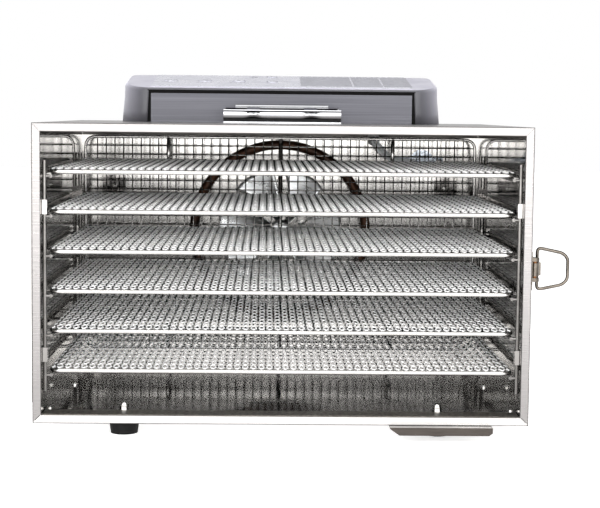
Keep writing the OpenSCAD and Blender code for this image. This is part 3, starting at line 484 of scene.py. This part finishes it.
ARM_X, ARM_SPREAD = 26.7, 5.5  # the bell's middle from the bar's middle, and its width
GAP_START, GAP_END = 20.4, 34  # from a bar's end, the gap that an arm of the bail folds into
GROOVE_SIDES = [2, 3, 4, 13, 14, 15]  # the section's sides that line the two grooves

lo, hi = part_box("handle_base")
x0, x1, y0, y1, z0, z1 = (v / MM for v in (lo.x, hi.x, lo.y, hi.y, lo.z, hi.z))


def waisted_bar(columns=140):
    """A bar along X whose section in Y and Z is, from its foot up, a strip, a groove, a bulged
    band, a groove and a strip. The band's half height is 3.2 mm less 1.5 mm times a bell curve
    of x at each arm, and its bulge a cosine of the height. The third value marks the sides that
    line the grooves, which are painted dark as a reflection of the chrome."""
    x = np.linspace(x0, x1, columns)
    bell = np.exp(-((np.abs(x - (x0 + x1) / 2) - ARM_X) / ARM_SPREAD) ** 2)
    half = 3.2 - 1.5 * bell
    turn = np.linspace(-1, 1, 9)[None, :]
    band_z = z0 + 8.0 + half[:, None] * turn
    band_y = y0 + 0.1 + 0.5 * bell[:, None] + 1.3 * (1 - np.cos(turn * 1.1))
    band = np.stack([x[:, None] * np.ones_like(turn), band_y, band_z], -1)
    below = [(y0 + 5, z0), (y0, z0), (y0, z0 + 1.5), (y0 + 2.5, z0 + 2.0), (y0 + 2.5, z0 + 4.3)]
    above = [(y0 + 4, z0 + 11.4), (y0 + 4, z1 - 0.7), (y0 + 1.5, z1 - 0.6), (y0 + 1.5, z1), (y0 + 5, z1)]
    straight = [np.stack([x, np.full_like(x, y), np.full_like(x, z)], -1)[:, None]
                for y, z in below + above]
    ring = np.concatenate(straight[:len(below)] + [band] + straight[len(below):], 1)
    rows = ring.shape[1]
    faces = quads_of(columns, rows, closed_columns=True)
    ends = [list(range(rows))[::-1], list(range((columns - 1) * rows, columns * rows))]
    side = faces.min(1) % rows
    groove = np.isin(side, GROOVE_SIDES) & (faces.max(1) % rows - side == 1)
    return ring.reshape(-1, 3), faces.tolist() + ends, groove


points, faces, groove = waisted_bar()
spans = ((x0, x0 + GAP_START), (x0 + GAP_END, x1 - GAP_END), (x1 - GAP_START, x1))
blocks = [bar_box((a, y0 + 5.2, z0), (b, y1, z1)) for a, b in spans]
points, faces = gathered([(points, faces)] + blocks)
bar = piece("handle_bar", points * MM, faces, chrome_plate, "cabinet", ["handle_base"],
            smooth=False)
# The grooves' sides take the dull black: painted reflection of the chrome's dark lines
groove_shade = groove.astype(int).tolist() + [0] * (len(faces) - len(groove))
bar.data.materials.append(rubber_and_groove_shade)
bar.data.polygons.foreach_set("material_index", groove_shade)

# ---- Fan: pressed wheel ----

BLADES = 7
SKIN = 0.45  # half of a blade's thickness

lo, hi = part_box("motor_shaft")
centre = np.array([(lo.x + hi.x) / 2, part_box("fan_impeller")[0].y, (lo.z + hi.z) / 2]) / MM


def blade(turn_by, root=10.0, tip=62.5, rows=14, columns=12):
    """One blade: radius r from root to tip, and a chord from -1 to 1 whose half angle grows from
    12 to 21 degrees. Depth is the pitch, which falls outwards, times the chord, plus a hollow
    of the chord squared. The tip's corners are drawn in by the cubes of both."""
    r = np.linspace(root, tip, rows)[:, None]
    c = np.linspace(-1, 1, columns)[None, :]
    share = (r - root) / (tip - root)
    half = np.radians(12 + 9 * share**0.7)
    a = turn_by + half * c + 0.25 * share
    radius = r - 2.5 * share**3 * (np.abs(c) ** 3)
    depth = 6 - (4.6 - 0.9 * share) * c + 1.2 * (c**2 - 0.4)
    skin = []
    for side in (-SKIN, SKIN):
        skin.append(np.stack([centre[0] + radius * np.cos(a), centre[1] + depth + side,
                              centre[2] + radius * np.sin(a)], -1).reshape(-1, 3))
    n = rows * columns
    front = quads_of(rows, columns)
    grid = np.arange(n).reshape(rows, columns)
    rim_line = np.concatenate([grid[0], grid[1:, -1], grid[-1, -2::-1], grid[-2:0:-1, 0]])
    ahead = np.roll(rim_line, -1)
    edge = np.stack([rim_line, rim_line + n, ahead + n, ahead], -1)
    return np.concatenate(skin), np.concatenate([front, front[:, ::-1] + n, edge[:, ::-1]]).tolist()


blades = [blade(2 * np.pi * k / BLADES) for k in range(BLADES)]
hub = turned([(0.2, 2.6), (0.2, 8.0), (1.2, 10.2), (3.2, 11.0), (11.0, 11.0), (11.8, 10.4), (11.8, 2.6)],
             centre, (0, 1, 0), 40)
points, faces = gathered(blades + [hub])
piece("fan_wheel", points * MM, faces, pressed_aluminium, "fan", ["fan_impeller"])

# ---- Latch loop: one bent wire ----

LATCH_WIRE = 2.8

lo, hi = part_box("latch_loop")
root_x = lo.x / MM + LATCH_WIRE / 2
y = (lo.y + hi.y) / 2 / MM
z = (lo.z + hi.z) / 2 / MM
tip_x = hi.x / MM - 1.6
half_loop = [(root_x, y, 1), (root_x, y, 18), (tip_x - 4.5, y, 13.5), (tip_x, y, 9)]
bends = [(px, py, z + pz) for px, py, pz in half_loop]
bends += [(px, py, z - pz) for px, py, pz in half_loop[::-1]]
points, faces = swept(rounded_path(bends, 4.2, 6), LATCH_WIRE, LATCH_WIRE, 14, up=(0, 1, 0))
piece("latch_wire", points * MM, faces, nickel_plate, "loop", ["latch_loop"])

# ---- Leads of the over-temperature cut-out ----

LEAD_D = 2.3

# The cable's points, from the middle of the flange's front at the fan's height
route = np.array([[94, 303, 93], [94, 299, 93], [95, 296, 91], [98, 294, 86], [103, 293, 80],
                  [110, 293, 75], [118, 294, 72], [126, 295, 71], [134, 296, 71]], float)
route = route + np.array([mid_x, flange_y, centre[2]])
leads = []
for shift, back, lift in ((-2.0, 0.3, -1.5), (2.0, 0.3, 1.5), (0.0, -1.2, 0.0)):
    line = rounded_path(route + np.array([shift, back, lift]), 6, 3)
    leads.append(swept(line, LEAD_D, LEAD_D, 10, up=(0, 1, 0.05)))
points, faces = gathered(leads)
piece("cutout_leads", points * MM, faces, braided_sleeve, "cabinet", ["cutout_cable"])

# ---- Control box: moulded shell ----

BOX_FRONT_H, BOX_REAR_H = 33, 47.5  # of the roof over the cabinet's top
HALF_FRONT, HALF_REAR = 131.5, 155.0  # half widths
FLANK = 44       # depth of the flanks' sweep
FILLET = 3       # between the walls and the roof
BOX_WALL = 2.2
OPEN_ROWS = 3    # rows of the front left open for the fascia
FLANK_ROWS = 6   # rows of the walls, front and rear too, with the flanks' finish

lo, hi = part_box("control_box")
front, back = lo.y / MM, hi.y / MM
top_z = lo.z / MM
slope = math.atan((BOX_REAR_H - BOX_FRONT_H) / (back - front))


def shell_outline(flare, inset, radius=9.0):
    """The shell in plan, from the middle of its front: straight front, flanks that sweep out nearly
    as a quarter of an ellipse, straight sides and round rear corners, all drawn in by an inset. A
    flare widens it behind the front."""
    t = np.linspace(0, np.pi / 2, 14)[1:]
    hr = HALF_REAR + flare - inset
    hf = HALF_FRONT - inset
    fy, by = front + inset, back - inset
    flank = np.stack([hf + (hr - hf) * np.sin(t) ** 1.15, fy + FLANK * (1 - np.cos(t))], -1)
    bend = np.stack([hr - radius + radius * np.cos(t), by - radius + radius * np.sin(t)], -1)
    right = np.concatenate([[[0, fy], [hf - 2, fy], [hf, fy]], flank, [[hr, by - radius]], bend, [[0, by]]])
    left = right[-2:0:-1] * [-1, 1]
    return np.concatenate([right, left])


def shell_rows():
    """Rows of the shell from the cabinet's top up to the roof, with a fillet at the roof."""
    rows = []
    for share, inset in ((0.0, 0.0), (0.35, 0.3), (0.7, 0.8)):
        line = shell_outline(2.0 * (1 - share), inset)
        roof = BOX_FRONT_H + (line[:, 1] - front) * math.tan(slope) - FILLET
        rows.append(np.column_stack([line[:, 0] + mid_x, line[:, 1], top_z + share * roof]))
    for a in np.radians([0, 20, 40, 60, 78, 90]):
        line = shell_outline(0.6 * (1 - a), 1.0 + FILLET * (1 - math.cos(a)))
        roof = BOX_FRONT_H + (line[:, 1] - front) * math.tan(slope) - FILLET + FILLET * math.sin(a)
        rows.append(np.column_stack([line[:, 0] + mid_x, line[:, 1], top_z + roof]))
    return np.array(rows)


rows = shell_rows()
count = rows.shape[1]
sides = quads_of(len(rows), count, closed_columns=True)
across_front = (sides[:, 0] % count == 0) | (sides[:, 0] % count == count - 1)
keep = ~across_front | (sides[:, 0] // count >= OPEN_ROWS)
roof = np.arange((len(rows) - 1) * count, len(rows) * count)
faces = sides[keep].tolist() + [roof.tolist()]
shell = piece("control_shell", rows.reshape(-1, 3) * MM, faces, moulded_abs, "cabinet",
              ["control_box"])
wall = shell.modifiers.new("wall", "SOLIDIFY")
wall.thickness, wall.offset = BOX_WALL * MM, -1
# The flanks take the painted shade of the fade
shell.data.materials.append(flank_abs)
on_flank = [int(face[0] // count < FLANK_ROWS and len(face) == 4) for face in faces]
shell.data.polygons.foreach_set("material_index", on_flank)

# ---- Printing on the film and the keys ----

face_point = np.array([mid_x, front, top_z + BOX_FRONT_H])
up_slope = np.array([0, math.cos(slope), math.sin(slope)])
off_slope = np.array([0, -math.sin(slope), math.cos(slope)])


def on_slope(x, y, h):
    """Points on the sloping face from x across, y up the slope and h above it, in millimetres."""
    x, y, h = np.broadcast_arrays(np.asarray(x, float), np.asarray(y, float), np.asarray(h, float))
    return face_point + x[..., None] * [1, 0, 0] + y[..., None] * up_slope + h[..., None] * off_slope


def stroke(xy, width, height, closed=False):
    """A printed line: a flat bead along points on the slope."""
    xy = np.asarray(xy, float)
    return swept(on_slope(xy[:, 0], xy[:, 1], height), width, 0.08, 6, up=off_slope, closed=closed)


def ring_line(x, y, r, a0=0, a1=360, n=40):
    """Points of an arc about (x, y) from a0 to a1 degrees."""
    a = np.radians(np.linspace(a0, a1, n, endpoint=a1 - a0 < 360))
    return np.stack([x + r * np.cos(a), y + r * np.sin(a)], -1)


POWER_X, TIMER_X, HEAT_X = -110, -76, -42.5  # keys' middles across the slope
KEYS_Y = 58.5                                 # and up it
STEP_X, PLUS_Y, MINUS_Y = -9.3, 98, 54
RING, STEP_RING, ARM = 6.1, 5, 2.2  # radii of the printed rings, and half of a sign's arm
INK = 0.55   # a line's width
FILM = 0.42  # height over the roof's slope of the ink on the film
CAP = 0.82   # and of the ink on the keys' caps
icons = {
    "key_power": [(ring_line(POWER_X, KEYS_Y, 3.4, 125, 415), False),
                  ([(POWER_X, KEYS_Y + 0.6), (POWER_X, KEYS_Y + 4.8)], False),
                  (ring_line(POWER_X, KEYS_Y, RING), True)],
    "key_timer": [(ring_line(TIMER_X, KEYS_Y, 3.6), True),
                  ([(TIMER_X, KEYS_Y + 2.6), (TIMER_X, KEYS_Y), (TIMER_X + 2, KEYS_Y)], False),
                  (ring_line(TIMER_X, KEYS_Y, RING), True)],
    "key_temperature": [([(HEAT_X - 0.8, KEYS_Y + 3.8), (HEAT_X - 0.8, KEYS_Y - 1)], False),
                        ([(HEAT_X + 0.8, KEYS_Y + 3.8), (HEAT_X + 0.8, KEYS_Y - 1)], False),
                        (ring_line(HEAT_X, KEYS_Y - 2.6, 1.7), True),
                        (ring_line(HEAT_X, KEYS_Y, RING), True)],
    "key_plus": [([(STEP_X - ARM, PLUS_Y), (STEP_X + ARM, PLUS_Y)], False),
                 ([(STEP_X, PLUS_Y - ARM), (STEP_X, PLUS_Y + ARM)], False),
                 (ring_line(STEP_X, PLUS_Y, STEP_RING), True)],
    "key_minus": [([(STEP_X - ARM, MINUS_Y), (STEP_X + ARM, MINUS_Y)], False),
                  (ring_line(STEP_X, MINUS_Y, STEP_RING), True)],
}
for key, lines in icons.items():
    points, faces = gathered([stroke(line, INK, CAP, closed) for line, closed in lines])
    piece(f"{key}_mark", points * MM, faces, print_ink, f"{key}_cap")

# Short bars stand for the captions: under three keys, left of the plus key and over the chart
bars = [stroke([(x - 9 + 4.6 * k, 45), (x - 6.2 + 4.6 * k, 45)], 1.1, FILM)
        for x in (POWER_X, TIMER_X, HEAT_X) for k in range(4)]
bars += [stroke([(-30, 88 + 5 * k), (-24, 88 + 5 * k)], 0.9, FILM) for k in range(3)]
bars += [stroke([(20 + 6.4 * k, 104.5), (24.6 + 6.4 * k, 104.5)], 1.2, FILM) for k in range(17)]
points, faces = gathered(bars)
piece("caption_bars", points * MM, faces, print_ink, "cabinet")


def plate(x0, x1, y0, y1, low, high):
    """A thin box on the slope."""
    x, y = np.array([x0, x1, x1, x0] * 2), np.array([y0, y0, y1, y1] * 2)
    h = np.array([low] * 4 + [high] * 4)
    faces = [[3, 2, 1, 0], [4, 5, 6, 7], [0, 1, 5, 4], [1, 2, 6, 5], [2, 3, 7, 6], [3, 0, 4, 7]]
    return on_slope(x, y, h), faces


# Three fields with level rules stand for the printed table
CHART_FIELDS = ((19, 69.6), (71.2, 99.2), (100.8, 128))
CHART_RULES = ((22, 66), (74, 96), (104, 125))
CHART_LOW, CHART_HIGH, RULE_PITCH = 19, 100, 8
points, faces = gathered([plate(a, b, CHART_LOW, CHART_HIGH, 0.4, 0.47) for a, b in CHART_FIELDS])
piece("chart_field", points * MM, faces, chart_ink, "cabinet", smooth=False)
points, faces = gathered([stroke([(a, y), (b, y)], 0.7, 0.49)
                          for y in np.arange(27, 97, RULE_PITCH) for a, b in CHART_RULES])
piece("chart_rules", points * MM, faces, printed_film, "cabinet")

# ---- Chamber floor: spangled front edge ----

EDGE_DEPTH = 22
EDGE_POINTS = 60  # along it

lo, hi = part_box("liner_floor")
x0, x1 = lo.x / MM + 0.6, hi.x / MM - 0.6
y0, y1 = lo.y / MM, lo.y / MM + EDGE_DEPTH
u = np.linspace(x0, x1, EDGE_POINTS)[:, None]
section = np.array([(y0, 0.0), (y0, 0.5), (y1 - 0.6, 0.5), (y1, 0.2), (y1, 0.0)])
z = hi.z / MM
points = np.stack(np.broadcast_arrays(u, section[None, :, 0], z + section[None, :, 1]), -1)
faces = quads_of(EDGE_POINTS, len(section))[:, ::-1].tolist()
piece("floor_edge", points * MM, faces, galvanised, "cabinet", smooth=False)

# ---- Stage, lights and camera ----


def studio(name, kind, **settings):
    """A light of the studio."""
    made = bpy.data.objects.new(name, bpy.data.lights.new(name, kind))
    for key, value in settings.items():
        setattr(made.data, key, value)
    bpy.context.scene.collection.objects.link(made)
    return made


def card(name, points, code, level=0.0):
    """A flat card of the studio: paper or black cloth."""
    mesh = bpy.data.meshes.new(name)
    mesh.from_pydata(points, [], [(0, 1, 2, 3)])
    made = bpy.data.objects.new(name, mesh)
    bpy.context.scene.collection.objects.link(made)
    paper = bpy.data.materials.new(name)
    paper.use_nodes = True
    surface = paper.node_tree.nodes["Principled BSDF"]
    surface.inputs["Base Color"].default_value = linear(code)
    surface.inputs["Roughness"].default_value = 0.9
    surface.inputs["Specular IOR Level"].default_value = 0.1
    if level:
        surface.inputs["Emission Color"].default_value = linear(code)
        surface.inputs["Emission Strength"].default_value = level
    mesh.materials.append(paper)
    return made


card("floor", [(-6, -6, 0), (6, -6, 0), (6, 6, 0), (-6, 6, 0)], "#f9f9f9", 0.68)
# Dark cards behind the camera's place, for dark streaks in the polished steel
CARD_Y, CARD_TOP = -1.65, 1.2
for name, x, w in (("dark_strip_right", 0.218, 0.03), ("dark_strip_left", -0.318, 0.046)):
    a, b = x - w / 2, x + w / 2
    strip = card(name, [(a, CARD_Y, 0.0), (b, CARD_Y, 0.0), (b, CARD_Y, CARD_TOP), (a, CARD_Y, CARD_TOP)],
                 "#050505")
    strip.visible_camera = False

# Surroundings: white up to a little over eye level and near white overhead, a grey band between,
# and darker to the sides. The camera itself sees plain white
world = bpy.data.worlds.new("white_studio")
world.use_nodes = True
sky = world.node_tree
sky.nodes.clear()
direction = add(sky, "ShaderNodeTexCoord")
parts = add(sky, "ShaderNodeSeparateXYZ", {"Vector": direction.outputs["Generated"]})
height = add(sky, "ShaderNodeValToRGB", {"Fac": parts.outputs["Z"]})
ramp = height.color_ramp
for spot, level in ((0.0, 1.0), (0.30, 1.0), (0.42, 0.25), (0.72, 0.25), (0.85, 0.9)):
    mark = ramp.elements.new(spot) if spot else ramp.elements[0]
    mark.position, mark.color = spot, (level, level, level, 1)
ramp.elements[-1].position, ramp.elements[-1].color = 1.0, (0.9, 0.9, 0.9, 1)
aside = add(sky, "ShaderNodeMath", {0: parts.outputs["X"]}, operation="ABSOLUTE")
shade = add(sky, "ShaderNodeMapRange", {"Value": aside.outputs[0], "From Min": 0.45, "From Max": 0.85,
            "To Min": 1.0, "To Max": 0.12})
dim = add(sky, "ShaderNodeBackground", {"Color": height.outputs["Color"],
          "Strength": shade.outputs["Result"]})
plain = add(sky, "ShaderNodeBackground", {"Color": (1, 1, 1, 1), "Strength": 1.0})
seen = add(sky, "ShaderNodeLightPath")
both = add(sky, "ShaderNodeMixShader", {0: seen.outputs["Is Camera Ray"], 1: dim.outputs[0],
           2: plain.outputs[0]})
add(sky, "ShaderNodeOutputWorld", {"Surface": both.outputs[0]})
bpy.context.scene.world = world

front_light = studio("front_low_softbox", "AREA", energy=94, shape="RECTANGLE", size=3.4, size_y=1.5)
front_light.location = (-0.03, -1.75, 0.78)
front_light.rotation_euler = (math.radians(88), 0, 0)
top_light = studio("overhead_softbox", "AREA", energy=19, shape="RECTANGLE", size=1.8, size_y=1.4)
top_light.location = (-0.2, -0.3, 1.7)
top_light.rotation_euler = (math.radians(-6), 0, 0)

camera = bpy.data.objects.new("camera", bpy.data.cameras.new("camera"))
bpy.context.scene.collection.objects.link(camera)
bpy.context.scene.camera = camera
camera.data.sensor_width = 36
camera.data.lens = 95.93
camera.data.clip_end = 50
camera_at = np.array([-31.8, -1489.0, 275.4]) * MM
yaw, pitch_down, roll = 0.0214, 0.089, 0.0105
ahead = np.array([math.sin(yaw) * math.cos(pitch_down), math.cos(yaw) * math.cos(pitch_down),
                  -math.sin(pitch_down)])
right = np.array([math.cos(yaw), -math.sin(yaw), 0])
top = np.cross(right, ahead)
right, top = math.cos(roll) * right + math.sin(roll) * top, math.cos(roll) * top - math.sin(roll) * right
turn = np.eye(4)
turn[:3, 0], turn[:3, 1], turn[:3, 2] = right, top, -ahead
turn[:3, 3] = camera_at
camera.matrix_world = Matrix(turn.tolist())

bpy.context.scene.view_settings.view_transform = "Standard"
